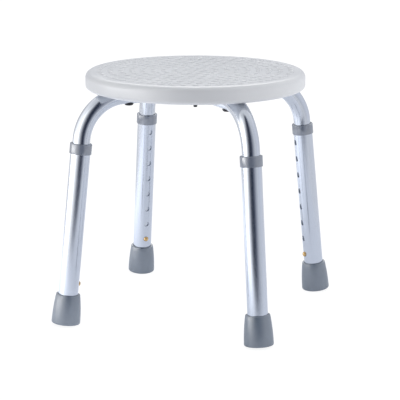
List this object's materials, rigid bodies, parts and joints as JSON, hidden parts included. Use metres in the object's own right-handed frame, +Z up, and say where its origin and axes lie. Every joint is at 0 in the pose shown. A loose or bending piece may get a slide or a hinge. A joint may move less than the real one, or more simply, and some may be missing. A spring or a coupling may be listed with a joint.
{
  "type": "shower stool",
  "caption": "Backless round shower stool: a textured plastic seat on crossed tube hoops, with splayed telescoping legs, snap buttons and rubber feet.",
  "frame": {"origin": "floor under the centre of the seat", "axes": "+Z up, -Y to the front, legs on the diagonals"},
  "size_m": [0.3334, 0.3334, 0.3571],
  "materials": {
    "seat_plastic": "moulded white polyethylene, low sheen, fine grain",
    "tube_aluminium": "clear anodised, satin bright",
    "collar_plastic": "moulded grey, semi-gloss",
    "foot_rubber": "moulded grey rubber, satin",
    "brass": "polished brass",
    "spring_steel": "bare spring steel",
    "dark_steel": "black zinc plate",
    "zinc_steel": "bright zinc plate"
  },
  "bodies": {
    "frame": {"seat": "seat_plastic", "frame_tube_lower": "tube_aluminium", "frame_tube_upper": "tube_aluminium", "seat_screws": "dark_steel", "saddle_washers": "dark_steel", "seat_inserts": "brass", "centre_bolt": "dark_steel", "centre_washer": "zinc_steel", "centre_nut": "zinc_steel", "button_spring_front_left": "spring_steel", "button_spring_front_right": "spring_steel", "button_spring_back_right": "spring_steel", "button_spring_back_left": "spring_steel"},
    "leg_front_left": {"leg_tube_front_left": "tube_aluminium", "leg_collar_front_left": "collar_plastic", "rubber_foot_front_left": "foot_rubber", "foot_washer_front_left": "zinc_steel"},
    "button_front_left": {"snap_button_front_left": "brass"},
    "leg_front_right": {"leg_tube_front_right": "tube_aluminium", "leg_collar_front_right": "collar_plastic", "rubber_foot_front_right": "foot_rubber", "foot_washer_front_right": "zinc_steel"},
    "button_front_right": {"snap_button_front_right": "brass"},
    "leg_back_right": {"leg_tube_back_right": "tube_aluminium", "leg_collar_back_right": "collar_plastic", "rubber_foot_back_right": "foot_rubber", "foot_washer_back_right": "zinc_steel"},
    "button_back_right": {"snap_button_back_right": "brass"},
    "leg_back_left": {"leg_tube_back_left": "tube_aluminium", "leg_collar_back_left": "collar_plastic", "rubber_foot_back_left": "foot_rubber", "foot_washer_back_left": "zinc_steel"},
    "button_back_left": {"snap_button_back_left": "brass"}
  },
  "joints": [
    {"name": "leg_height_front_left", "type": "slide", "parent": "frame", "child": "leg_front_left", "axis": [-0.0773, -0.0773, -0.994], "range_m": [0, 0.1778], "deforming": ["snap_button_front_left"]},
    {"name": "button_press_front_left", "type": "slide", "parent": "frame", "child": "button_front_left", "axis": [-0.7029, -0.7029, 0.1094], "range_m": [0, 0.0045], "stiffness_N_per_m": 1500, "deforming": ["button_spring_front_left"]},
    {"name": "leg_height_front_right", "type": "slide", "parent": "frame", "child": "leg_front_right", "axis": [0.0773, -0.0773, -0.994], "range_m": [0, 0.1778], "deforming": ["snap_button_front_right"]},
    {"name": "button_press_front_right", "type": "slide", "parent": "frame", "child": "button_front_right", "axis": [0.7029, -0.7029, 0.1094], "range_m": [0, 0.0045], "stiffness_N_per_m": 1500, "deforming": ["button_spring_front_right"]},
    {"name": "leg_height_back_right", "type": "slide", "parent": "frame", "child": "leg_back_right", "axis": [0.0773, 0.0773, -0.994], "range_m": [0, 0.1778], "deforming": ["snap_button_back_right"]},
    {"name": "button_press_back_right", "type": "slide", "parent": "frame", "child": "button_back_right", "axis": [0.7029, 0.7029, 0.1094], "range_m": [0, 0.0045], "stiffness_N_per_m": 1500, "deforming": ["button_spring_back_right"]},
    {"name": "leg_height_back_left", "type": "slide", "parent": "frame", "child": "leg_back_left", "axis": [-0.0773, 0.0773, -0.994], "range_m": [0, 0.1778], "deforming": ["snap_button_back_left"]},
    {"name": "button_press_back_left", "type": "slide", "parent": "frame", "child": "button_back_left", "axis": [-0.7029, 0.7029, 0.1094], "range_m": [0, 0.0045], "stiffness_N_per_m": 1500, "deforming": ["button_spring_back_left"]}
  ]
}
